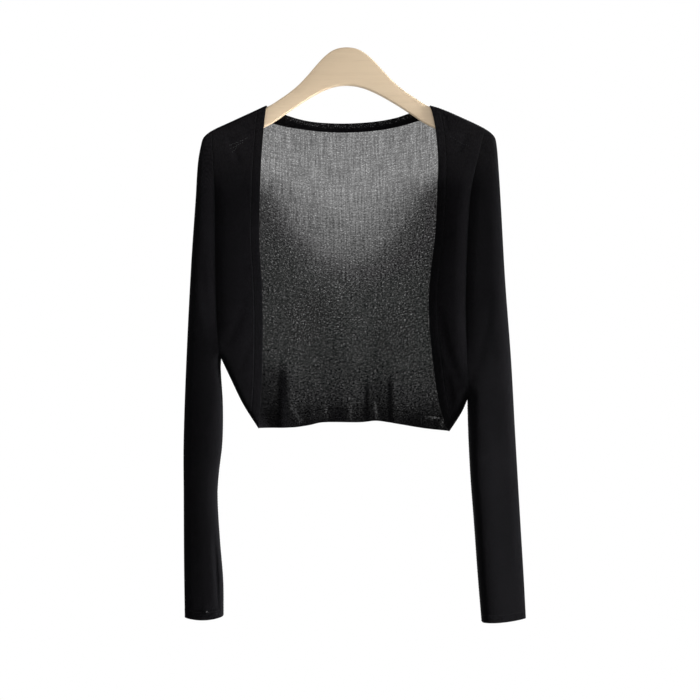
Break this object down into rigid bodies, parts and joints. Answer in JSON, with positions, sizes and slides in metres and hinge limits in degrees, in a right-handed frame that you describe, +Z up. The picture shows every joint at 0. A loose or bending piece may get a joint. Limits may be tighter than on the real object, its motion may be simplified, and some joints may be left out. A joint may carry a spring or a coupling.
{
  "type": "cropped open-front cardigan on a hanger",
  "caption": "Cropped open-front cardigan in fine black knit with long sleeves, a sheer back and narrow edge bands, hanging on a plain pale wooden hanger.",
  "frame": {"origin": "top of the hanger's crown, in the middle, where the hanger is held", "axes": "+Z up, -Y out of the garment's front, so +X is the wearer's left"},
  "size_m": [0.4277, 0.0593, 0.7162],
  "materials": {
    "knit": "soft matt fine knit, near black",
    "band_knit": "doubled matt knit edge, near black",
    "sheer_knit": "one thin sheer layer of the same knit, which lets light through",
    "wood": "pale smooth wood under a thin satin coat"
  },
  "bodies": {
    "root": {"hanger": "wood", "front_right": "knit", "front_left": "knit", "back": "sheer_knit", "sleeve_right": "knit", "sleeve_left": "knit", "band_right": "band_knit", "band_neck": "band_knit", "band_left": "band_knit", "band_hem": "band_knit"}
  },
  "joints": []
}
